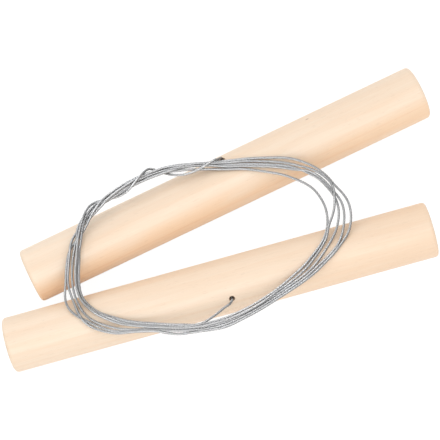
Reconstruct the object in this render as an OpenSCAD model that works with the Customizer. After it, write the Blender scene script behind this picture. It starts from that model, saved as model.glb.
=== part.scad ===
// Clay cutter: two dowel handles joined by one stranded wire, put away as a tied coil.
// X runs along the near handle, Y points to the far handle and Z is up.
// The origin is on the table, under the middle of the two handles together.

/* [Handles] */
// Diameter of a dowel handle
handle_d = 16; // [13:0.5:19]
// Length of a dowel handle
handle_l = 125; // [110:1:150]
// Radius of the worn edge round each end
edge_r = 1; // [0.4:0.1:2]

/* [Lie of the handles] */
// Distance of the far handle's middle along X from the near one's
far_along = 9.4; // [0:0.2:16]
// Distance of the far handle's middle across, along Y
far_across = 29.8; // [29.6:0.2:34]
// Turn of the far handle seen from above, in degrees
far_turn = 10.6; // [8:0.2:11]

/* [Cross holes] */
// Diameter of the hole that the wire comes out of
hole_d = 1.6; // [1:0.1:2.4]
// Place of the near handle's hole along it, from its middle
near_hole_at = 2.6; // [-2:0.1:6]
// Place of the far handle's hole along it, from its middle
far_hole_at = 1.8; // [-2:0.1:6]
// Roll of the near handle, which turns its hole toward the front, in degrees
near_roll = 46; // [35:1:55]
// Roll of the far handle, which turns its hole toward the back, in degrees
far_roll = -38; // [-50:1:-30]

/* [Stop sleeves] */
// Outer diameter of the sleeve crimped on each wire end
sleeve_d = 3; // [2.4:0.1:4]
// Length of a sleeve
sleeve_l = 4.5; // [3:0.1:6]
// Gap between a sleeve and the wall of its pocket
sleeve_gap = 0.2; // [0.1:0.05:0.5]
// Length of wire that stands out of a sleeve
wire_stub = 0.4; // [0.2:0.1:1]
// Depth of that wire's end below the wood
pocket_sink = 0.6; // [0.3:0.1:1.5]

/* [Wire] */
// Diameter of the stranded wire
wire_d = 0.6; // [0.4:0.05:0.7]
// Clear height between the handles and the coil that lies on them
coil_gap = 0.3; // [0.2:0.05:0.6]
// Clear length between a handle's mouth and the wire outside it
mouth_gap = 0.25; // [0.15:0.05:0.4]

/* [Coil] */
// Loops wound before the tie begins
coil_loops = 5.2; // [4.9:0.05:5.25]
// Loop at which the spiral turns back inward and climbs a layer
turn_back = 3; // [2.9:0.05:3.1]
// Share of the bundle's width that one loop moves out by
lane_out = 0.45; // [0.42:0.01:0.5]
// Share of the bundle's width that one loop moves back in by
lane_in = 0.43; // [0.42:0.01:0.5]
// Height between the two layers, centre to centre
layer_rise = 1.1; // [1.1:0.01:1.3]

/* [Tie] */
// Loop at which the wraps round the bundle begin
wrap_from = 5.29; // [5.28:0.005:5.3]
// Loop at which the wraps end
wrap_to = 5.48; // [5.475:0.005:5.485]
// Whole and part wraps round the bundle
wraps = 2.08; // [2.08:0.01:2.1]
// Half width of a wrap, centre of the bundle to centre of the wire
wrap_half_w = 3.05; // [3:0.05:3.2]
// Half height of a wrap
wrap_half_h = 2.05; // [2:0.05:2.2]

/* [Hidden] */

wood = [0.98, 0.89, 0.79];
steel = [0.60, 0.60, 0.61];
alloy = [0.75, 0.75, 0.77];

turned_fn = 96;
drilled_fn = 48;
margin = 1;

pocket_d = sleeve_d + 2 * sleeve_gap;
pocket_depth = sleeve_l + wire_stub + pocket_sink;
handle_r = handle_d / 2;
seat = pocket_depth - handle_r;

// Reach of the turned far handle from its middle, along X and along Y
far_reach_x = cos(far_turn) * (handle_l / 2 - edge_r) + sin(far_turn) * (handle_r - edge_r) + edge_r;
far_reach_y = sin(far_turn) * (handle_l / 2 - edge_r) + cos(far_turn) * (handle_r - edge_r) + edge_r;
// Middle of the two handles together, from the near handle's middle
middle_x = (min(-handle_l / 2, far_along - far_reach_x) + max(handle_l / 2, far_along + far_reach_x)) / 2;
middle_y = (min(-handle_r, far_across - far_reach_y) + max(handle_r, far_across + far_reach_y)) / 2;
near_at = [-middle_x, -middle_y, handle_r];
far_at = near_at + [far_along, far_across, 0];

// Middle line of the bundle, measured from the near handle's middle.
// Each point is x, y, the bundle's width there and how far it arches up off the handles.
// It runs from the front to the left, the back and the right, as the wire was wound.
bundle = [
    [-8, -12, 2.6, 0], [-20, -9.5, 2.8, 0], [-31.5, -4.5, 3.8, 0], [-39.5, 5, 4.8, 0],
    [-38, 17, 3.6, 0.8], [-31, 27, 2.6, 1.5], [-20, 32.5, 2.5, 1.5], [-7.5, 34.5, 2.5, 1.5],
    [5, 33.2, 2.5, 1], [17, 30.5, 3.2, 0.2], [29, 26, 4.9, 0], [37.5, 17.5, 5.8, 0],
    [37, 5.5, 6.2, 0], [28, -3.5, 3.8, 0], [16.5, -8.5, 2.9, 0], [5, -12, 2.5, 0]];

loop_rings = 24;
wrap_rings = 8;
tail_rings = 8;
loop_sides = 6;
tail_sides = 8;
first_lane = -0.27;
last_lane = first_lane + lane_out * turn_back;
climb_half = 0.25;
loop_start = 0.01;
wrap_angle = 145;
wrap_ease = 0.02;
// Share of the bundle's width that the middle of the wraps lies inward
wrap_shift = 0.1;
// How far each bend of the two tails reaches before it turns
near_bend = 1.2;
near_glide = 3;
far_glide = 3;
far_bend = 3.5;
apart_along = 12;
step = 0.001;

near_out = [0, -sin(near_roll), cos(near_roll)];
far_out = turned([0, -sin(far_roll), cos(far_roll)], far_turn);
near_mouth = near_at + [near_hole_at, 0, 0] + handle_r * near_out;
far_mouth = far_at + turned([far_hole_at, 0, 0], far_turn) + handle_r * far_out;

coil_z = handle_d + coil_gap + wire_d / 2;
bundle_z = coil_z + layer_rise / 2;

function unit(v) = v / norm(v);
function turned(v, a) = [v.x * cos(a) - v.y * sin(a), v.x * sin(a) + v.y * cos(a), v.z];
function eased(x) = let(c = min(max(x, 0), 1)) c * c * (3 - 2 * c);
function mixed(a, b, share) = a + (b - a) * share;

// Smooth closed curve through the bundle's points, at loop t
function through(a, b, c, d, f) =
    b + 0.5 * f * ((c - a) + f * ((2 * a - 5 * b + 4 * c - d) + f * (3 * (b - c) + d - a)));
function bundle_at(t) =
    let(n = len(bundle), s = (t - floor(t)) * n, i = floor(s))
    through(bundle[(i + n - 1) % n], bundle[i % n], bundle[(i + 1) % n], bundle[(i + 2) % n], s - i);
function outward(t) =
    let(d = bundle_at(t + step) - bundle_at(t - step)) unit([-d.y, d.x, 0]);

// The wire spirals out in the lower layer and back in on top of it
function lane(t) = t < turn_back ? first_lane + lane_out * t : last_lane - lane_in * (t - turn_back);
function level(t) = coil_z + layer_rise * eased((t - turn_back + climb_half) / (2 * climb_half));
function width_at(t) = bundle_at(t)[2];
function middle_at(t, z) = let(b = bundle_at(t)) [b.x - middle_x, b.y - middle_y, z + b[3]];
function coil_at(t) = middle_at(t, level(t)) + (lane(t) - 0.5) * width_at(t) * outward(t);

// The tie leaves its lane and goes round the bundle
function gathered(x) = x < wrap_ease ? max(x, 0) * x / (2 * wrap_ease) : x - wrap_ease / 2;
function wrap_turn(t) =
    wrap_angle - 360 * wraps * gathered(t - wrap_from) / gathered(wrap_to - wrap_from);
function wrap_at(t) =
    let(w = wrap_turn(t))
    middle_at(t, bundle_z + wrap_half_h * sin(w))
    + (wrap_half_w * cos(w) - wrap_shift * width_at(t)) * outward(t);
function tie_at(t) = mixed(coil_at(t), wrap_at(t), eased((t - coil_loops) / (wrap_from - coil_loops)));

function curve(a, b, c, d, f) =
    pow(1 - f, 3) * a + 3 * pow(1 - f, 2) * f * b + 3 * (1 - f) * f * f * c + f * f * f * d;
// Points between two ends that both run straight for one diameter
function joined(a, a_way, a_pull, b, b_way, b_pull) =
    let(p = a + wire_d * a_way, q = b - wire_d * b_way)
    [for (i = [0 : tail_rings])
        curve(p, p + a_pull * a_way, q - b_pull * b_way, q, i / tail_rings)];

coil_start = coil_at(0);
coil_start_way = unit(coil_at(step) - coil_at(0));
coil_end = coil_at(coil_loops);
coil_end_way = unit(coil_at(coil_loops) - coil_at(coil_loops - step));
tie_end = tie_at(wrap_to);
tie_end_way = unit(tie_at(wrap_to) - tie_at(wrap_to - step));

coil_route = [
    coil_start,
    coil_start + wire_d * coil_start_way,
    for (i = [1 : floor((coil_loops - loop_start) * loop_rings)]) coil_at(i / loop_rings),
    coil_end - wire_d * coil_end_way,
    coil_end];
tie_route = [
    coil_end,
    coil_end + wire_d * coil_end_way,
    for (i = [1 : 3]) tie_at(mixed(coil_loops, wrap_from, i / 4)),
    for (i = [0 : ceil(wraps * wrap_rings) - 1])
        tie_at(mixed(wrap_from, wrap_to, i / ceil(wraps * wrap_rings))),
    tie_end - wire_d * tie_end_way,
    tie_end];
near_tail_start = near_mouth + mouth_gap * near_out;
near_tail_route = [
    near_tail_start,
    each joined(near_tail_start, near_out, near_bend, coil_start, coil_start_way, near_glide),
    coil_start];
// The far tail leaves the tie on top of the bundle and bends down into the mouth behind it
far_tail_end = far_mouth + mouth_gap * far_out;
far_tail_route = [
    tie_end,
    each joined(tie_end, tie_end_way, far_glide, far_tail_end, -far_out, far_bend),
    far_tail_end];

function part_of(list, from, to) = [for (i = [from : to]) list[i]];
function from_segment(p, a, b) =
    let(d = b - a, f = min(max((p - a) * d / (d * d), 0), 1)) norm(p - a - f * d);
function run_of(route) = [for (i = 0, s = 0; i < len(route);
    s = s + (i + 1 < len(route) ? norm(route[i + 1] - route[i]) : 0), i = i + 1) s];
// Least clear distance between two stretches of wire that are not next to each other
function least_gap(route, apart) =
    let(s = run_of(route), n = len(route))
    min([for (i = [0 : n - 1], j = [0 : n - 2])
        if (s[j] > s[i] + apart || s[j + 1] < s[i] - apart)
            from_segment(route[i], route[j], route[j + 1])]) - wire_d;

whole_route = concat(near_tail_route, part_of(coil_route, 1, len(coil_route) - 1),
    part_of(tie_route, 1, len(tie_route) - 1), part_of(far_tail_route, 1, len(far_tail_route) - 1));
whole_run = run_of(whole_route);
union() {
    echo(wire_length = whole_run[len(whole_run) - 1]);
    echo(wire_least_gap_to_itself = least_gap(whole_route, apart_along));
}

module tube(route, sides) {
    n = len(route);
    ways = [for (i = [0 : n - 1]) unit(route[min(i + 1, n - 1)] - route[max(i - 1, 0)])];
    points = [for (i = [0 : n - 1])
        let(side = unit(cross(ways[i], [0, 0, 1])), up = cross(side, ways[i]))
        for (k = [0 : sides - 1])
            route[i] + wire_d / 2 * (cos(360 * k / sides) * side + sin(360 * k / sides) * up)];
    walls = [for (i = [0 : n - 2], k = [0 : sides - 1])
        let(a = i * sides + k, b = i * sides + (k + 1) % sides)
        each [[a, b, b + sides], [a, b + sides, a + sides]]];
    start = [for (k = [1 : sides - 2]) [0, k + 1, k]];
    last = (n - 1) * sides;
    end = [for (k = [1 : sides - 2]) [last, last + k, last + k + 1]];
    polyhedron(points, concat(walls, start, end));
}

module at_near() {
    translate(near_at) children();
}

module at_far() {
    translate(far_at) rotate([0, 0, far_turn]) children();
}

// Along the cross hole, with the handle's middle line at its zero and the mouth at the top
module in_hole(at, roll) {
    translate([at, 0, 0]) rotate([roll, 0, 0]) children();
}

module dowel_outline() {
    square([handle_r - edge_r, handle_l]);
    translate([0, edge_r]) square([handle_r, handle_l - 2 * edge_r]);
    for (y = [edge_r, handle_l - edge_r])
        translate([handle_r - edge_r, y]) circle(edge_r, $fn = drilled_fn);
}

module dowel(hole_at, roll) {
    color(wood) difference() {
        translate([-handle_l / 2, 0, 0]) rotate([0, 90, 0])
            rotate_extrude($fn = turned_fn) intersection() {
                dowel_outline();
                square([handle_r, handle_l]);
            }
        in_hole(hole_at, roll) {
            cylinder(h = handle_d + 2 * margin, d = hole_d, center = true, $fn = drilled_fn);
            translate([0, 0, -handle_r - margin])
                cylinder(h = pocket_depth + margin, d = pocket_d, $fn = drilled_fn);
        }
    }
}

module wire_end(hole_at, roll) {
    bottom = seat - sleeve_l - wire_stub;
    color(steel) in_hole(hole_at, roll) translate([0, 0, bottom])
        cylinder(h = handle_r - bottom, d = wire_d, $fn = drilled_fn);
}

module stop_sleeve(hole_at, roll) {
    color(alloy) in_hole(hole_at, roll) translate([0, 0, seat - sleeve_l]) difference() {
        cylinder(h = sleeve_l, d = sleeve_d, $fn = drilled_fn);
        translate([0, 0, -margin])
            cylinder(h = sleeve_l + 2 * margin, d = wire_d, $fn = drilled_fn);
    }
}

module near_handle() {
    at_near() dowel(near_hole_at, near_roll);
}

module far_handle() {
    at_far() dowel(far_hole_at, far_roll);
}

module near_wire_end() {
    at_near() wire_end(near_hole_at, near_roll);
}

module far_wire_end() {
    at_far() wire_end(far_hole_at, far_roll);
}

module near_stop() {
    at_near() stop_sleeve(near_hole_at, near_roll);
}

module far_stop() {
    at_far() stop_sleeve(far_hole_at, far_roll);
}

module wire_coil() {
    color(steel) tube(coil_route, loop_sides);
}

module wire_tie() {
    color(steel) tube(tie_route, loop_sides);
}

module near_tail() {
    color(steel) tube(near_tail_route, tail_sides);
}

module far_tail() {
    color(steel) tube(far_tail_route, tail_sides);
}

near_handle();
far_handle();
wire_coil();
wire_tie();
near_tail();
far_tail();
near_wire_end();
far_wire_end();
near_stop();
far_stop();
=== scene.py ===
"""Wire clay cutter: two wooden dowel handles and one stranded wire, put away as a tied flat coil."""

import math

import bmesh
import bpy
import numpy as np
from bpy.props import FloatProperty, FloatVectorProperty, IntProperty, PointerProperty
from bpy.types import Operator, Panel, PropertyGroup
from mathutils import Matrix, Vector


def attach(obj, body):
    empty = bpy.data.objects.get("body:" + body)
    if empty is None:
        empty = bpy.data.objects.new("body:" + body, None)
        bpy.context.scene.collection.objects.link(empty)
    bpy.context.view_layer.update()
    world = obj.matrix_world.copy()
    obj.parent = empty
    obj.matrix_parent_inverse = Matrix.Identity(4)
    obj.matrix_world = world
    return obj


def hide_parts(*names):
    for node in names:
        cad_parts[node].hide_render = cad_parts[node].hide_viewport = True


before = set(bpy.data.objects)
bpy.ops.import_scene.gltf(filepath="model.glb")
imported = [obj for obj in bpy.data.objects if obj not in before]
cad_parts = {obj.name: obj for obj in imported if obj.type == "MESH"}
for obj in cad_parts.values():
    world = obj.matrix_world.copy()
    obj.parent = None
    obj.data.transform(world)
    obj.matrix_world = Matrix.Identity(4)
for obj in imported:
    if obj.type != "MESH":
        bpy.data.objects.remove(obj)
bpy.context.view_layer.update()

bl_info = {
    "name": "Clay cutter",
    "version": (1, 0, 0),
    "blender": (4, 5, 0),
    "location": "View3D > Sidebar > Clay cutter",
    "description": "Wire clay cutter with dowel handles, its wire put away as a tied coil",
    "category": "Add Mesh",
}

MM = 0.001

# The handles as they lie, in mm and degrees
HANDLE_R = 8.0
HANDLE_HALF = 62.5
NEAR_AT = (-4.819, -20.497, HANDLE_R)
FAR_AT = (4.581, 9.303, HANDLE_R)
FAR_TURN = 10.6
# Where each cross hole starts along its handle, and how far it leans from straight up
NEAR_HOLE, NEAR_ROLL = 2.6, 46.0
FAR_HOLE, FAR_ROLL = 1.8, -38.0
HOLE_R = 0.8
# The pocket at the hole's hidden end, the stop sleeve in it and the wire that stands out of the sleeve
POCKET_DEPTH = 5.5
SLEEVE_LENGTH = 4.5
WIRE_STUB = 0.4

# Middle of the part's box, in mm from the near handle's middle
PART_MIDDLE = (4.819, 20.497)
# Middle of the bundle at sixteen stations round the coil, in mm from the near
# handle's middle, with how far the bundle is lifted there
STATIONS = (
    (-8, -12, 0), (-20, -9.5, 0), (-31.5, -4.5, 0), (-39.5, 5, 0),
    (-38, 17, 0.5), (-31, 27, 0.9), (-20, 32.5, 0.9), (-7.5, 34.5, 0.9),
    (5, 33.2, 0.6), (17, 30.5, 0.1), (29, 26, 0), (37.5, 17.5, 0),
    (37, 5.5, 0), (28, -3.5, 0), (16.5, -8.5, 0), (5, -12, 0),
)
# Lane that each turn keeps, in mm outward from the bundle's middle, at every half station
LANES = (
    (-0.7, -1.3, -1.75, -1.85, -1.85, -1.3, -1.45, -1.8, -1.7, -1.0, -0.6, -0.2, -0.1, -0.1, -0.1, -0.15,
     -0.7, -1.2, -1.3, -2.15, -2.75, -3.2, -3.8, -3.5, -3.25, -2.65, -2.5, -2.05, -1.4, -1.45, -1.45, -0.9),
    (-0.65, -0.9, -1.3, -1.4, -1.45, -1.05, -1.05, -1.35, -1.35, -0.7, 0.1, 0.2, 0.15, 0.1, 0.05, 0.75,
     0.4, 0.0, 0.2, 0.2, 0.3, 0.05, -0.35, 0.1, -0.5, -0.65, -0.3, -0.2, -0.2, -0.45, -0.35, 0.2),
    (0.25, 0.25, -0.2, 0.25, 0.9, 1.45, 0.3, 0.05, 0.1, 0.15, 0.5, 0.45, 0.3, 0.2, 0.2, 0.8,
     0.35, -0.45, -0.2, -0.4, -0.35, 0.65, 0.1, 1.4, 1.3, 1.6, 0.6, 0.6, 0.5, 0.2, 0.15, 0.85),
    (0.7, 0.45, 0.2, 0.8, 1.9, 2.45, 3.4, 1.85, 1.6, 1.65, 1.25, 1.1, 1.2, 1.25, 1.35, 1.5,
     1.2, 1.3, 1.95, 2.3, 2.75, 2.4, 1.55, 3.2, 3.1, 1.95, 1.4, 1.15, 0.95, 0.7, 0.75, 1.6),
    (1.15, 1.3, 0.45, 1.0, 2.55, 3.2, 1.25, 1.3, 1.1, 1.15, 1.0, 0.75, 0.7, 0.7, 0.75, 0.95,
     0.85, 0.8, 1.2, 1.1, 1.15, 1.55, 1.05, -0.95, -2.85, -2.05, -1.6, -1.05, -0.7, -0.55, -0.5, -0.15),
    (0.05, -0.45, -0.7, -0.9, -0.8, -0.65, -0.9, -1.0, -1.0),
)
# How much higher each turn is wound than the one before it, in mm, until it settles
TURN_RISE = 0.3
# Under the tie the turns lie in a packed and twisted bundle. These are the stations between which they
# are packed, and the stations that they take to gather or to part
PACK_FROM, PACK_TO, PACK_EASE = 3.9, 7.7, 0.7
# Station, and mm outward to the middle of the pack
PACK_MIDDLE = (
    (4, -0.05), (4.5, 0.4), (5, 0.6), (5.25, 0.65), (5.5, 0.6), (6, 0.6), (6.5, 0.7), (7, 0.75),
    (7.5, 0.8), (8, 0.6),
)
# Station, and half of the pack's width in mm
PACK_HALF_WIDTH = ((4, 1.75), (4.5, 1.3), (5, 0.95), (5.5, 0.8), (6, 0.85), (7.5, 0.9))
# Half of its height, and its middle's height over the lowest turn, in mm
PACK_HALF_HEIGHT = 0.6
PACK_LIFT = 0.6
# Station, and degrees that the pack has twisted by
PACK_TWIST = ((3.9, 0), (5.7, -330), (7.5, -420))
# Each turn's own place round the pack, in degrees, and 0 in place of 1 for the turn in its middle
PACK_ANGLES = (275, 195, 135, 5, 80)
PACK_REACH = (1, 1, 0, 1, 1)
# Where the tie leaves its lane: station, mm above the lowest turn
TIE_LEAD = ((3.9, 0.75), (4.1, 0.85))
# The tie: station, mm outward, mm above the middle of the pack
TIE = (
    (4.35, -0.5, 0.7), (4.6, 0.1, 1.1), (4.85, 0.85, 1.15), (5.05, 1.7, 0.8), (5.25, 2.3, 0.2),
    (5.42, 2.05, -0.5), (5.58, 1.2, -1.05), (5.75, 0.2, -1.15), (5.92, -0.6, -0.7), (6.07, -0.95, -0.1),
    (6.2, -0.75, 0.45), (6.35, -0.05, 1.0), (6.5, 0.8, 1.15), (6.62, 1.75, 0.85), (6.76, 2.6, 0.1),
    (6.87, 2.1, -0.7), (7.0, 0.9, -1.15), (7.12, -0.2, -0.95), (7.25, -1.1, -0.5), (7.5, -1.75, 0),
    (7.75, -1.35, 0.4), (8.0, -0.35, 1.0), (8.12, 0.45, 1.25), (8.25, 1.3, 1.2),
)
TURNS_BEFORE_TIE = 5
# The wire's way from the near hole into the coil, and from the tie into the far hole, in mm
NEAR_TAIL = ((-2.7, -27.35, 14.15), (-3.36, -27.95, 14.6), (-4.9, -28.6, 14.95), (-6.42, -29.4, 15.3),
             (-8.72, -30.5, 15.75), (-10.82, -31.3, 16.15))
FAR_TAIL = ((4.1, 13.5, 17.95), (4.75, 13.95, 17.1), (5.2, 14.4, 16.1), (5.4, 14.7, 15.1))
# How far the wire comes straight out of the near hole, in mm, the step at which both tails are worked
# out, as a share of the way from one of their points to the next, and how many points into the coil
# the point lies that steers a tail's end
TAIL_RISE = 0.75
TAIL_STEP = 0.05
TAIL_LEAD = 8
# Height of a turn's middle where it rests on the handles, in mm
LOWEST_TURN = 16.33
# Points worked out for each turn, and how often the turns are moved until they have settled
SAMPLES = 480
SETTLING_ROUNDS = 400
# What one round does: mm of sinking, and the shares by which turns go back to where the photograph
# shows them, are parted sideways and are smoothed
SINK = 0.004
PULL = 0.05
PARTING = 0.6
SMOOTH_ACROSS, SMOOTH_UP = 0.25, 0.35
SMOOTH_TIE = 0.3
# Turns that touch lie this share of a diameter apart, because crests settle between crests
NESTING = 0.88
# Too small to see: it guards a rounding and a division
TINY = 1e-9
# Spacing of the points of the route in mm, and of the rings of points on the mesh in metres
ROUTE_SPACING = 0.1
RING_SPACING = 0.3 * MM
END_RING_SPACING = 0.25 * MM
# Points on each strand's outline, as shares of its half angle
STRAND_POINTS = (-1.0, -0.55, 0.0, 0.55)
# A direction that no wire here starts along
ASIDE = (0.3, 0.5, 0.8)

# How fast each pattern in the wood changes in a metre: along the grain, then across it
RING_WANDER = (14, 60, 60)
STREAKS = (26, 620, 620)
CLOUDS = (22, 90, 90)
FIBRES = (120, 3600, 3600)
PORES = (420, 4300, 4300)
PATCHES = (45, 130, 130)
GRAIN_LINES = (9, 1100, 1100)
OPEN_PORES = (60, 5200, 5200)
# How far the rings wander in all, in metres, and how much less they change along the grain
RING_SWAY = (0.004, 0.004, 0.004)
RING_TAPER = (0.06, 1, 1)
# How much of the warm wood's colour the late wood, the streaks and the clouds bring in
LATE_SHARE, STREAK_SHARE, CLOUD_SHARE = 0.24, 0.3, 0.42
# Browns in the wood: the grain lines in the painted warm shade of the flank, the fibres, the pores, the rings
# on the sawn ends, the singed rim of a hole with painted shade, the painted shade inside it, and the fleck
LINE_BROWN = (0.78, 0.38, 0.15)
FIBRE_BROWN = (0.62, 0.42, 0.24)
PORE_BROWN = (0.45, 0.28, 0.15)
END_BROWN = (0.55, 0.38, 0.23)
RIM_BROWN = (0.45, 0.27, 0.14)
HOLE_SHADE_BROWN = (0.30, 0.17, 0.09)
FLECK_BROWN = (0.33, 0.17, 0.09)
# Greys in the metal: painted shade in the grooves between strands, stains on the wire and scuffs on the
# sleeves
GROOVE_SHADE_GREY = (0.04, 0.039, 0.038)
STAIN_GREY = (0.30, 0.295, 0.29)
SCUFF_GREY = (0.38, 0.38, 0.40)
# What differs in each handle's wood: a seed for its patterns, the way from its pith to its middle in
# metres, how much warmer it grows toward its right end, and the side that takes painted warm shade (the
# warm flank) as degrees from straight up, degrees of half width and strength. The fleck is a place in metres
# from the far handle's middle, longer along the grain, and the radii below are those of its edge and of its
# dark core
NEAR_WOOD = {"seed": 0.37, "pith": (0, 0.021, 0.017), "drift": 0.45, "flank": (50, 60, 0.08)}
FAR_WOOD = {"seed": 1.9, "pith": (0, -0.013, 0.017), "drift": 0.15, "flank": (-72, 46, 0.40),
            "fleck": Vector((29.0, 4.94, 6.29)) * MM}
FLECK_OUTER, FLECK_INNER = 0.42 * MM, 0.12 * MM
FLECK_STRETCH = (0.55, 1.0, 1.0)

WHITE = (1.0, 1.0, 1.0)
# The camera of the photograph: focal length on a sensor 36 mm wide, place in mm, and the ways that its
# right, its top and its back face
SENSOR_WIDTH = 36.0
CAMERA_LENS = 149.46
CAMERA_AT = (7.96, -169.19, 507.75)
CAMERA_AXES = ((0.96366, -0.24830, -0.09853), (0.26673, 0.91463, 0.30382), (0.01468, -0.31906, 0.94762))
# Each lamp: place and size in metres, and colour. Both glint lamps take a part of one power
KEY_LAMP = ((-0.36, 0.3, 0.85), 0.9, (1.0, 0.985, 0.96))
WARM_LAMP = ((0.05, -0.72, 0.72), 1.8, (1.0, 0.95, 0.88))
COOL_LAMP = ((0.1, 0.9, 0.5), 1.6, (0.66, 0.86, 1.0))
FAR_GLINT_LAMP = ((-0.4, 0.62, 0.5), 0.6, WHITE)
NEAR_GLINT_LAMP = ((-0.1, -0.42, 0.72), 0.6, WHITE)
FAR_GLINT_PART, NEAR_GLINT_PART = 0.8, 1.2
# The table as the camera sees it: its own glow, and the faint grey that still takes the shadow
TABLE_GLOW = 0.92
TABLE_GREY = (0.2, 0.2, 0.2)
# Half of the table's side, in metres
TABLE_HALF = 3.0


class ClayCutterWire(PropertyGroup):
    diameter: FloatProperty(
        name="Wire diameter", description="Diameter over the crests of the strands",
        default=0.72 * MM, min=0.4 * MM, max=0.8 * MM, unit="LENGTH", precision=5)
    strands: IntProperty(
        name="Strands", description="Outer strands laid round the core", default=6, min=3, max=9)
    lay: FloatProperty(
        name="Lay length", description="Length in which a strand goes once round the wire",
        default=5 * MM, min=3 * MM, max=12 * MM, unit="LENGTH", precision=4)
    steel: FloatVectorProperty(
        name="Steel", description="Colour of the drawn steel", subtype="COLOR",
        default=(0.42, 0.425, 0.435), min=0, max=1)
    alloy: FloatVectorProperty(
        name="Sleeve alloy", description="Colour of the crimped stop sleeves", subtype="COLOR",
        default=(0.62, 0.62, 0.64), min=0, max=1)


class ClayCutterWood(PropertyGroup):
    pale: FloatVectorProperty(
        name="Pale wood", description="Colour of the early wood", subtype="COLOR",
        default=(0.97, 0.80, 0.635), min=0, max=1)
    warm: FloatVectorProperty(
        name="Warm wood", description="Colour of the late wood and the streaks", subtype="COLOR",
        default=(0.95, 0.72, 0.53), min=0, max=1)
    # The warm flank is painted warm shade along one side of a handle
    flank: FloatVectorProperty(
        name="Warm flank", description="Colour of the riper wood along one side", subtype="COLOR",
        default=(1.0, 0.65, 0.38), min=0, max=1)
    end: FloatVectorProperty(
        name="End grain", description="Colour of the sawn ends", subtype="COLOR",
        default=(0.90, 0.72, 0.54), min=0, max=1)
    ring: FloatProperty(
        name="Growth ring", description="Spacing of the growth rings",
        default=2.4 * MM, min=1 * MM, max=6 * MM, unit="LENGTH", precision=4)


class ClayCutterStage(PropertyGroup):
    floor: FloatVectorProperty(
        name="Floor", description="Colour of the table", subtype="COLOR",
        default=(0.9, 0.9, 0.9), min=0, max=1)
    sky: FloatProperty(
        name="Room light", description="Strength of the even light", default=0.80, min=0, max=2)
    key: FloatProperty(
        name="Key light", description="Power of the high lamp at the far left",
        default=0.62, min=0, max=20, unit="POWER")
    warm: FloatProperty(
        name="Warm light", description="Power of the large warm lamp at the near side",
        default=3.75, min=0, max=20, unit="POWER")
    cool: FloatProperty(
        name="Cool light", description="Power of the low cool lamp at the far side",
        default=1.35, min=0, max=20, unit="POWER")
    glint: FloatProperty(
        name="Glint", description="Power of the two lamps that show in glossy surfaces alone",
        default=7.5, min=0, max=40, unit="POWER")


def between(a, b, c, d, share):
    """Catmull-Rom point at a share of the way from b to c."""
    return b + 0.5 * share * ((c - a) + share * ((2 * a - 5 * b + 4 * c - d) + share * (3 * (b - c) + d - a)))


def spline(points, at):
    """Catmull-Rom curve through points, at parameters that count from the first one."""
    points = np.asarray(points, float)
    at = np.clip(at, 0, len(points) - 1)
    first = np.minimum(at.astype(int), len(points) - 2)
    share = (at - first)[:, None]
    ends = np.vstack([2 * points[0] - points[1], points, 2 * points[-1] - points[-2]])
    return between(*(ends[first + k] for k in range(4)), share)


def coil_frame(loops):
    """Middle of the bundle and the outward direction, at places counted in loops."""
    stations = np.array(STATIONS, float)
    count = len(stations)
    around = np.vstack([stations[-1], stations, stations[:3]])

    def middle(loops):
        at = (loops % 1) * count
        first = np.minimum(at.astype(int), count - 1)
        share = (at - first)[:, None]
        return between(*(around[first + k] for k in range(4)), share)

    step = 0.001
    along = middle(loops + step)[:, :2] - middle(loops - step)[:, :2]
    along /= np.linalg.norm(along, axis=1)[:, None]
    return middle(loops), np.stack([-along[:, 1], along[:, 0]], 1)


def placed(loops, across, up):
    """Points in the part's frame, in mm, from places in the bundle."""
    middle, outward = coil_frame(loops)
    flat = middle[:, :2] - PART_MIDDLE + across[:, None] * outward
    return np.column_stack([flat, LOWEST_TURN + middle[:, 2] + up])


def ramp(x):
    """Goes smoothly from 0 to 1 as x does, and stays there."""
    x = np.clip(x, 0, 1)
    return x * x * (3 - 2 * x)


def looked_up(rows, at):
    """Second numbers of the rows, at places among their first numbers."""
    return np.interp(at, [row[0] for row in rows], [row[1] for row in rows])


def wound_turns():
    """Where the turns and the tie are meant to lie: loops, mm across, mm up, and how firmly they are held."""
    lanes = np.concatenate([np.array(lane, float) for lane in LANES])
    stations = len(STATIONS)
    last = TURNS_BEFORE_TIE + TIE[-1][0] / stations
    loops = np.arange(int(last * SAMPLES) + 1) / SAMPLES
    across = spline(lanes[:, None], loops * 2 * stations)[:, 0]
    up = TURN_RISE * loops
    station = (loops % 1) * stations
    packed = ramp((station - PACK_FROM) / PACK_EASE) * ramp((PACK_TO - station) / PACK_EASE)
    packed[loops >= TURNS_BEFORE_TIE] = 0
    turn = np.minimum(np.floor(loops + TINY).astype(int), TURNS_BEFORE_TIE - 1)
    angle = np.radians(np.array(PACK_ANGLES)[turn] + looked_up(PACK_TWIST, station))
    reach = np.array(PACK_REACH)[turn]
    aside = looked_up(PACK_MIDDLE, station) + reach * looked_up(PACK_HALF_WIDTH, station) * np.cos(angle)
    across += packed * (aside - across)
    up += packed * (PACK_LIFT + reach * PACK_HALF_HEIGHT * np.sin(angle) - up)
    # The tie starts from its lane and rises over the pack
    start, tie = np.array(TIE_LEAD), np.array(TIE)
    lead = TURNS_BEFORE_TIE + start[:, 0] / stations
    tie_loops = np.concatenate([lead, TURNS_BEFORE_TIE + tie[:, 0] / stations])
    tie_across = np.concatenate([np.interp(lead, loops, across), tie[:, 1]])
    tie_up = np.concatenate([start[:, 1], PACK_LIFT + tie[:, 2]])
    tied = loops >= lead[0]
    places = np.interp(loops[tied], tie_loops, np.arange(len(tie_loops)))
    shape = spline(np.column_stack([tie_across, tie_up]), places)
    across[tied], up[tied] = shape[:, 0], shape[:, 1]
    held = np.where(tied, 1.0, 0.5 * packed)
    return loops, across, up, held


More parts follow.
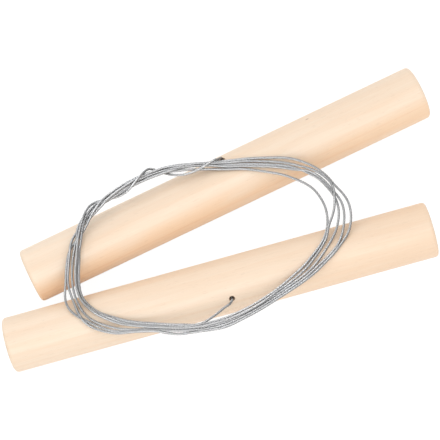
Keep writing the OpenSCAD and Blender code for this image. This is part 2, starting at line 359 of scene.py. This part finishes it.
def settled(across, up, held, apart):
    """Lets the turns sink until they rest on the handles and on each other, and parts those that cross."""
    wanted_across, wanted_up = across.copy(), up.copy()
    # The tie goes below the pack, so only the other turns are kept above the handles
    lowest = np.where(held >= 1, -6 * apart, 0.0)
    for _ in range(SETTLING_ROUNDS):
        up -= SINK * (1 - held)
        up += (wanted_up - up) * PULL * held
        across += (wanted_across - across) * PULL
        for turns in range(1, TURNS_BEFORE_TIE + 1):
            below = len(up) - turns * SAMPLES
            if below <= 0:
                break
            gap_across = across[turns * SAMPLES:] - across[:below]
            gap_up = up[turns * SAMPLES:] - up[:below]
            gap = np.hypot(gap_across, gap_up) + TINY
            push = np.clip(apart - gap, 0, None) / 2
            across[turns * SAMPLES:] += PARTING * push * gap_across / gap
            across[:below] -= PARTING * push * gap_across / gap
            up[turns * SAMPLES:] += push * gap_up / gap
            up[:below] -= push * gap_up / gap
        np.maximum(up, lowest, out=up)
        stiff = np.where(held[1:-1] >= 1, SMOOTH_TIE, 1.0)
        for line, share in ((across, SMOOTH_ACROSS), (up, SMOOTH_UP)):
            line[1:-1] += share * stiff * (0.5 * (line[:-2] + line[2:]) - line[1:-1])
    return across, up


def hole(near):
    """Mouth of a handle's cross hole and the way out of it, in mm."""
    at, along, roll, turn = FAR_AT, FAR_HOLE, FAR_ROLL, FAR_TURN
    if near:
        at, along, roll, turn = NEAR_AT, NEAR_HOLE, NEAR_ROLL, 0.0
    lean = math.radians(roll)
    turned = Matrix.Rotation(math.radians(turn), 3, "Z")
    out = turned @ Vector((0, -math.sin(lean), math.cos(lean)))
    return Vector(at) + turned @ Vector((along, 0, 0)) + HANDLE_R * out, out


def even(points, spacing):
    """The same line through points that lie evenly spaced."""
    along = np.concatenate([[0], np.cumsum(np.linalg.norm(np.diff(points, axis=0), axis=1))])
    count = max(2, round(along[-1] / spacing) + 1)
    want = np.linspace(0, along[-1], count)
    return np.column_stack([np.interp(want, along, points[:, k]) for k in range(3)])


def tail(points):
    """The curve through all the points but the first and the last, which only steer it."""
    return spline(points, np.arange(1, len(points) - 2 + TAIL_STEP / 5, TAIL_STEP))


def wire_route(diameter):
    """The whole free wire from the near hole's mouth to the far hole's, in metres."""
    loops, across, up, held = wound_turns()
    across, up = settled(across, up, held, NESTING * diameter)
    coil = placed(loops, across, up)
    near_mouth, near_out = (np.array(v) for v in hole(True))
    far_mouth, far_out = (np.array(v) for v in hole(False))
    straight = near_mouth + TAIL_RISE * near_out
    near = [near_mouth - near_out, near_mouth, straight, NEAR_TAIL, coil[0], coil[TAIL_LEAD]]
    far = [coil[-1 - TAIL_LEAD], coil[-1], FAR_TAIL, far_mouth, far_mouth - far_out]
    whole = np.vstack([tail(np.vstack(near))[:-1], coil, tail(np.vstack(far))[1:]])
    return even(whole, ROUTE_SPACING) * MM


def wire_mesh(name, path, diameter, strands, lay, spacing):
    """A stranded wire along path: a lobed outline that turns once in a lay length, closed at both ends."""
    path = even(path, spacing)
    strand = diameter / 6
    lobe = math.pi / strands
    outline = []
    for k in range(strands):
        for share in STRAND_POINTS:
            off = share * lobe
            beyond = math.sqrt(max(0.0, strand**2 - (2 * strand * math.sin(off)) ** 2))
            outline.append((2 * lobe * k + off, 2 * strand * math.cos(off) + beyond, 1.0 - abs(share)))
    along = np.gradient(path, axis=0)
    along /= np.linalg.norm(along, axis=1)[:, None]
    length = np.concatenate([[0], np.cumsum(np.linalg.norm(np.diff(path, axis=0), axis=1))])
    side = np.cross(along[0], ASIDE)
    bm = bmesh.new()
    # How near each point is to a strand's crest; the steel paints shade in the grooves by it
    crest = bm.verts.layers.float.new("crest")
    rings = []
    for point, way, run in zip(path, along, length):
        side = side - way * np.dot(side, way)
        side /= np.linalg.norm(side)
        over = np.cross(way, side)
        turn = 2 * math.pi * run / lay
        ring = []
        for angle, reach, height in outline:
            v = bm.verts.new(point + reach * (math.cos(angle + turn) * side + math.sin(angle + turn) * over))
            v[crest] = height
            ring.append(v)
        rings.append(ring)
    for ring, following in zip(rings, rings[1:]):
        for k, v in enumerate(ring):
            m = (k + 1) % len(ring)
            bm.faces.new((v, ring[m], following[m], following[k])).smooth = True
    bm.faces.new(reversed(rings[0]))
    bm.faces.new(rings[-1])
    return finished(bm, name)


def finished(bm, name):
    """An object at the origin from a bmesh."""
    mesh = bpy.data.meshes.new(name)
    bm.to_mesh(mesh)
    bm.free()
    piece = bpy.data.objects.new(name, mesh)
    bpy.context.scene.collection.objects.link(piece)
    return piece


class Shading:
    """Adds nodes to a material or a world and links them."""

    def __init__(self, owner, output="OutputMaterial"):
        self.owner = owner
        owner.use_nodes = True
        self.tree = owner.node_tree
        self.tree.nodes.clear()
        self.output = self.add(output)

    def add(self, kind, inputs=None, **settings):
        node = self.tree.nodes.new("ShaderNode" + kind)
        for key, value in settings.items():
            setattr(node, key, value)
        for key, value in (inputs or {}).items():
            self.feed(node.inputs[key], value)
        return node

    def feed(self, socket, value):
        if isinstance(value, bpy.types.NodeSocket):
            self.tree.links.new(value, socket)
        elif hasattr(value, "__len__") and socket.type == "RGBA":
            socket.default_value = (*value[:3], 1.0)
        else:
            socket.default_value = value

    def math(self, operation, *values):
        node = self.add("Math", operation=operation)
        for socket, value in zip(node.inputs, values):
            self.feed(socket, value)
        return node.outputs[0]

    def vector(self, operation, *values, result=0):
        node = self.add("VectorMath", operation=operation)
        for socket, value in zip(node.inputs, values):
            self.feed(socket, value)
        return node.outputs[result]

    def fade(self, value, low, high, to_low=0.0, to_high=1.0):
        """Carries value from low..high to to_low..to_high, without overshoot."""
        node = self.add("MapRange", interpolation_type="SMOOTHSTEP")
        for socket, number in zip(node.inputs, (value, low, high, to_low, to_high)):
            self.feed(socket, number)
        return node.outputs[0]

    def mix(self, share, a, b):
        """Colour a where share is 0, and colour b where it is 1."""
        node = self.add("Mix", data_type="RGBA")
        self.feed(node.inputs[0], share)
        self.feed(node.inputs[6], a)
        self.feed(node.inputs[7], b)
        return node.outputs[2]

    def noise(self, vector, scale, detail=2.0, roughness=0.5):
        settings = {"Vector": vector, "Scale": scale, "Detail": detail, "Roughness": roughness}
        return self.add("TexNoise", settings).outputs[0]

    def seen_in_the_picture(self):
        """1 for rays from the camera, also by way of metal or glass, and 0 for rays that light things."""
        path = self.add("LightPath")
        seen = self.math("MAXIMUM", path.outputs["Is Camera Ray"], path.outputs["Is Glossy Ray"])
        return self.math("MAXIMUM", seen, path.outputs["Is Transmission Ray"])

    def shaders(self, kind, a, b, **inputs):
        """Joins two shaders by a mix or an add."""
        node = self.add(kind, inputs)
        first = len(node.inputs) - 2
        self.tree.links.new(a.outputs[0], node.inputs[first])
        self.tree.links.new(b.outputs[0], node.inputs[first + 1])
        return node

    def finish(self, shader):
        self.tree.links.new(shader.outputs[0], self.output.inputs["Surface"])
        return self.owner


def wood_material(name, looks, near, seed, pith, drift, flank, fleck=None):
    """Sanded pale dowel wood: grain along the handle, end grain, a singed hole with painted shade inside,
    painted warm shade on one side.
    """
    s = Shading(bpy.data.materials.new(name))
    at, turn = (NEAR_AT, 0.0) if near else (FAR_AT, FAR_TURN)
    back = Matrix.Rotation(-math.radians(turn), 3, "Z")
    place = s.add("Mapping", {"Vector": s.add("TexCoord").outputs["Object"],
                              "Rotation": (0, 0, -math.radians(turn)),
                              "Location": -(back @ (Vector(at) * MM))}).outputs[0]
    along = s.add("SeparateXYZ", {"Vector": place}).outputs[0]
    shift = s.vector("ADD", place, (seed, 0.31 * seed, 0.17 * seed))

    def pattern(scale, detail=2.0, roughness=0.5):
        return s.noise(s.vector("MULTIPLY", shift, scale), 1.0, detail, roughness)

    # Growth rings round a pith that lies outside the dowel, wandering a little along it
    slow = s.vector("MULTIPLY", shift, RING_WANDER)
    wander = s.add("TexNoise", {"Vector": slow, "Scale": 1.0, "Detail": 1.5}).outputs[1]
    wander = s.vector("MULTIPLY", s.vector("SUBTRACT", wander, (0.5, 0.5, 0.5)), RING_SWAY)
    bent = s.vector("ADD", place, wander)
    from_pith = s.vector("MULTIPLY", s.vector("ADD", bent, pith), RING_TAPER)
    radius = s.vector("LENGTH", from_pith, result=1)
    phase = s.math("FRACT", s.math("DIVIDE", radius, looks.ring))
    late = s.fade(phase, 0.35, 0.93)
    late = s.math("MULTIPLY", late, s.fade(phase, 1.0, 0.95))
    # Streaks and pores, long along the grain
    streaks = pattern(STREAKS, 4.0, 0.6)
    clouds = pattern(CLOUDS, 3.0)
    fibres = pattern(FIBRES, 3.0, 0.6)
    pores = s.fade(pattern(PORES, 1.0), 0.66, 0.74)
    share = s.math("MULTIPLY", late, LATE_SHARE)
    share = s.math("ADD", share, s.fade(streaks, 0.38, 0.72, 0.0, STREAK_SHARE))
    share = s.math("ADD", share, s.fade(clouds, 0.35, 0.7, 0.0, CLOUD_SHARE))
    share = s.math("ADD", share, s.fade(along, -HANDLE_HALF * MM, HANDLE_HALF * MM, 0.0, drift))
    colour = s.mix(share, looks.pale, looks.warm)
    # Painted warm shade along one side of the dowel, in patches and stronger toward the left end, with fine
    # grain lines in it
    side, width, most = flank
    facing = (0, math.sin(math.radians(side)), math.cos(math.radians(side)))
    outward = s.vector("NORMALIZE", s.vector("MULTIPLY", place, (0, 1, 1)))
    lean = s.vector("DOT_PRODUCT", outward, facing, result=1)
    shaded = s.fade(lean, math.cos(math.radians(width)), math.cos(math.radians(width / 4)))
    shaded = s.math("MULTIPLY", shaded, s.fade(pattern(PATCHES), 0.3, 0.62, 0.25 * most, 1.2 * most))
    shaded = s.math("MULTIPLY", shaded, s.fade(along, -HANDLE_HALF * MM, 0.5 * HANDLE_HALF * MM, 1.0, 0.8))
    colour = s.mix(shaded, colour, looks.flank)
    lines = s.fade(pattern(GRAIN_LINES), 0.56, 0.68, 0.0, 0.3)
    colour = s.mix(s.math("MULTIPLY", lines, shaded), colour, LINE_BROWN)
    colour = s.mix(s.fade(fibres, 0.3, 0.7, 0.0, 0.07), colour, FIBRE_BROWN)
    colour = s.mix(s.math("MULTIPLY", pores, 0.14), colour, PORE_BROWN)
    # End grain, with the rings and the open pores cut across
    ending = s.fade(s.math("ABSOLUTE", along), (HANDLE_HALF - 0.35) * MM, (HANDLE_HALF - 0.02) * MM)
    dots = s.fade(pattern(OPEN_PORES), 0.45, 0.7, 0.0, 0.35)
    cut = s.mix(s.math("ADD", s.math("MULTIPLY", late, 0.4), dots), looks.end, END_BROWN)
    colour = s.mix(ending, colour, cut)
    # The drilled hole: painted shade inside, and a singed rim round its mouth that also carries painted shade
    mouth, out = hole(near)
    from_mouth = s.vector("SUBTRACT", place, tuple(back @ ((mouth - Vector(at)) * MM)))
    off = s.vector("LENGTH", s.vector("CROSS_PRODUCT", from_mouth, tuple(back @ out)), result=1)
    inside = s.fade(off, (HOLE_R + 0.28) * MM, (HOLE_R - 0.02) * MM)
    hole_shade = s.fade(off, (HOLE_R + 0.03) * MM, (HOLE_R - 0.03) * MM)
    colour = s.mix(s.math("MULTIPLY", inside, 0.35), colour, RIM_BROWN)
    colour = s.mix(s.math("MULTIPLY", hole_shade, 0.6), colour, HOLE_SHADE_BROWN)
    if fleck:
        spot = s.vector("MULTIPLY", s.vector("SUBTRACT", place, fleck), FLECK_STRETCH)
        dark = s.fade(s.vector("LENGTH", spot, result=1), FLECK_OUTER, FLECK_INNER)
        colour = s.mix(s.math("MULTIPLY", dark, 0.45), colour, FLECK_BROWN)
    height = s.math("ADD", s.math("MULTIPLY", fibres, 0.6), s.math("MULTIPLY", streaks, 0.4))
    height = s.math("SUBTRACT", height, s.math("MULTIPLY", pores, 0.7))
    height = s.math("SUBTRACT", height, s.math("MULTIPLY", s.math("MULTIPLY", ending, dots), 1.5))
    bump = s.add("Bump", {"Height": height, "Strength": 0.25, "Distance": 0.06 * MM}).outputs[0]
    rough = s.fade(streaks, 0.3, 0.7, 0.46, 0.58)
    surface = {"Base Color": colour, "Roughness": rough, "Normal": bump, "Specular IOR Level": 0.35}
    return s.finish(s.add("BsdfPrincipled", surface))


def steel_material(name, looks):
    """Drawn steel strands: steel colour on their crests, painted shade in the grooves between them."""
    s = Shading(bpy.data.materials.new(name))
    place = s.add("TexCoord").outputs["Object"]
    crest = s.add("Attribute", attribute_name="crest").outputs["Fac"]
    drawn = s.noise(place, 900.0, 3.0, 0.6)
    stain = s.noise(place, 110.0, 2.0)
    # Painted shade: near black in the grooves between strands, by the crest attribute
    colour = s.mix(s.fade(crest, 0.1, 0.8), GROOVE_SHADE_GREY, looks.steel)
    colour = s.mix(s.fade(stain, 0.35, 0.7, 0.0, 0.35), colour, STAIN_GREY)
    rough = s.fade(drawn, 0.3, 0.7, 0.28, 0.42)
    bump = s.add("Bump", {"Height": drawn, "Strength": 0.15, "Distance": 0.01 * MM}).outputs[0]
    surface = {"Base Color": colour, "Metallic": 0.95, "Roughness": rough, "Normal": bump}
    return s.finish(s.add("BsdfPrincipled", surface))


def alloy_material(name, looks):
    """Soft sleeve alloy with faint tool marks."""
    s = Shading(bpy.data.materials.new(name))
    place = s.add("TexCoord").outputs["Object"]
    scuffs = s.noise(s.vector("MULTIPLY", place, (1500, 1500, 5200)), 1.0, 3.0, 0.6)
    colour = s.mix(s.fade(scuffs, 0.35, 0.7, 0.0, 0.4), looks.alloy, SCUFF_GREY)
    rough = s.fade(scuffs, 0.3, 0.7, 0.35, 0.55)
    bump = s.add("Bump", {"Height": scuffs, "Strength": 0.3, "Distance": 0.02 * MM}).outputs[0]
    surface = {"Base Color": colour, "Metallic": 1.0, "Roughness": rough, "Normal": bump}
    return s.finish(s.add("BsdfPrincipled", surface))


def floor_material(looks):
    """Pale table that shows as white, keeps the soft shadow and shows white in the wire."""
    s = Shading(bpy.data.materials.new("table_white"))
    plain = s.add("BsdfDiffuse", {"Color": looks.floor})
    faint = s.add("BsdfDiffuse", {"Color": TABLE_GREY})
    glow = s.add("Emission", {"Color": WHITE, "Strength": TABLE_GLOW})
    lit = s.shaders("AddShader", faint, glow)
    return s.finish(s.shaders("MixShader", plain, lit, Fac=s.seen_in_the_picture()))


def room_light(looks):
    """Even white light all round, with white behind the object in the picture."""
    s = Shading(bpy.data.worlds.new("room"), "OutputWorld")
    light = s.add("Background", {"Color": WHITE, "Strength": looks.sky})
    white = s.add("Background", {"Color": WHITE, "Strength": 1.0})
    return s.finish(s.shaders("MixShader", light, white, Fac=s.seen_in_the_picture()))


def dressed(piece, material):
    """Gives every face of a piece one material."""
    piece.data.materials.clear()
    piece.data.materials.append(material)


class CLAYCUTTER_OT_camera(Operator):
    """Set the camera where the photograph was taken from"""

    bl_idname = "claycutter.camera"
    bl_label = "Camera"

    def execute(self, context):
        camera = bpy.data.objects.new("photo_camera", bpy.data.cameras.new("photo_camera"))
        context.scene.collection.objects.link(camera)
        camera.data.sensor_width = SENSOR_WIDTH
        camera.data.lens = CAMERA_LENS
        camera.data.clip_start = 0.01
        camera.data.clip_end = 10.0
        turned = Matrix(CAMERA_AXES).transposed().to_4x4()
        camera.matrix_world = Matrix.Translation(Vector(CAMERA_AT) * MM) @ turned
        context.scene.camera = camera
        return {"FINISHED"}


class CLAYCUTTER_OT_wire(Operator):
    """Wind and tie the stranded wire, from one handle's hole to the other's"""

    bl_idname = "claycutter.wire"
    bl_label = "Wire"

    def execute(self, context):
        sizes = context.scene.clay_cutter_wire
        path = wire_route(sizes.diameter / MM)
        steel = steel_material("wire_steel", sizes)
        wire = wire_mesh("cutting_wire", path, sizes.diameter, sizes.strands, sizes.lay, RING_SPACING)
        dressed(wire, steel)
        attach(wire, "wire")
        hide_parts("wire_coil", "wire_tie", "near_tail", "far_tail")
        for near, body, node, start in ((True, "near_grip", "near_wire_end", path[0]),
                                        (False, "far_grip", "far_wire_end", path[-1])):
            mouth, out = hole(near)
            pocket = 2 * HANDLE_R - POCKET_DEPTH + SLEEVE_LENGTH + WIRE_STUB
            line = np.array([Vector(start) / MM, mouth - out, mouth - pocket * out]) * MM
            end = wire_mesh(
                node + "_strands", line, sizes.diameter, sizes.strands, sizes.lay, END_RING_SPACING)
            dressed(end, steel)
            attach(end, body)
            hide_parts(node)
        return {"FINISHED"}


class CLAYCUTTER_OT_handles(Operator):
    """Finish the two dowel handles in sanded pale wood"""

    bl_idname = "claycutter.handles"
    bl_label = "Handles"

    def execute(self, context):
        looks = context.scene.clay_cutter_wood
        dressed(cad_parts["near_handle"], wood_material("near_wood", looks, True, **NEAR_WOOD))
        dressed(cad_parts["far_handle"], wood_material("far_wood", looks, False, **FAR_WOOD))
        return {"FINISHED"}


class CLAYCUTTER_OT_sleeves(Operator):
    """Finish the two stop sleeves"""

    bl_idname = "claycutter.sleeves"
    bl_label = "Stop sleeves"

    def execute(self, context):
        alloy = alloy_material("sleeve_alloy", context.scene.clay_cutter_wire)
        dressed(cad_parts["near_stop"], alloy)
        dressed(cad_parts["far_stop"], alloy)
        return {"FINISHED"}


class CLAYCUTTER_OT_stage(Operator):
    """Lay the pale table and set the soft lamps"""

    bl_idname = "claycutter.stage"
    bl_label = "Stage"

    def execute(self, context):
        scene = context.scene
        looks = scene.clay_cutter_stage
        bm = bmesh.new()
        bmesh.ops.create_grid(bm, x_segments=1, y_segments=1, size=TABLE_HALF)
        table = finished(bm, "table")
        dressed(table, floor_material(looks))
        self.lamp(scene, "key_lamp", looks.key, *KEY_LAMP)
        self.lamp(scene, "warm_lamp", looks.warm, *WARM_LAMP)
        self.lamp(scene, "cool_lamp", looks.cool, *COOL_LAMP)
        far_glint = self.lamp(scene, "far_glint_lamp", FAR_GLINT_PART * looks.glint, *FAR_GLINT_LAMP)
        near_glint = self.lamp(scene, "near_glint_lamp", NEAR_GLINT_PART * looks.glint, *NEAR_GLINT_LAMP)
        far_glint.visible_diffuse = False
        near_glint.visible_diffuse = False
        scene.world = room_light(looks)
        scene.view_settings.view_transform = "Standard"
        return {"FINISHED"}

    def lamp(self, scene, name, power, at, size, colour):
        """A square lamp that looks at the object."""
        lamp = bpy.data.objects.new(name, bpy.data.lights.new(name, "AREA"))
        scene.collection.objects.link(lamp)
        lamp.data.size = size
        lamp.data.energy = power
        lamp.data.color = colour
        lamp.location = at
        lamp.rotation_euler = Vector(at).to_track_quat("Z", "Y").to_euler()
        return lamp


class CLAYCUTTER_PT_panel(Panel):
    """Clay cutter"""

    bl_idname = "CLAYCUTTER_PT_panel"
    bl_label = "Clay cutter"
    bl_space_type = "VIEW_3D"
    bl_region_type = "UI"
    bl_category = "Clay cutter"

    def draw(self, context):
        for group in ("clay_cutter_wire", "clay_cutter_wood", "clay_cutter_stage"):
            column = self.layout.column(align=True)
            sizes = getattr(context.scene, group)
            for key in sizes.__annotations__:
                column.prop(sizes, key)
        for maker in OPERATORS:
            self.layout.operator(maker.bl_idname)


GROUPS = (ClayCutterWire, ClayCutterWood, ClayCutterStage)
OPERATORS = (
    CLAYCUTTER_OT_camera,
    CLAYCUTTER_OT_wire,
    CLAYCUTTER_OT_handles,
    CLAYCUTTER_OT_sleeves,
    CLAYCUTTER_OT_stage,
)


def register():
    for cls in (*GROUPS, *OPERATORS, CLAYCUTTER_PT_panel):
        bpy.utils.register_class(cls)
    bpy.types.Scene.clay_cutter_wire = PointerProperty(type=ClayCutterWire)
    bpy.types.Scene.clay_cutter_wood = PointerProperty(type=ClayCutterWood)
    bpy.types.Scene.clay_cutter_stage = PointerProperty(type=ClayCutterStage)


def unregister():
    del bpy.types.Scene.clay_cutter_stage
    del bpy.types.Scene.clay_cutter_wood
    del bpy.types.Scene.clay_cutter_wire
    for cls in reversed((*GROUPS, *OPERATORS, CLAYCUTTER_PT_panel)):
        bpy.utils.unregister_class(cls)


def main():
    register()
    bpy.ops.claycutter.camera()
    bpy.ops.claycutter.wire()
    bpy.ops.claycutter.handles()
    bpy.ops.claycutter.sleeves()
    bpy.ops.claycutter.stage()


if __name__ == "__main__":
    main()
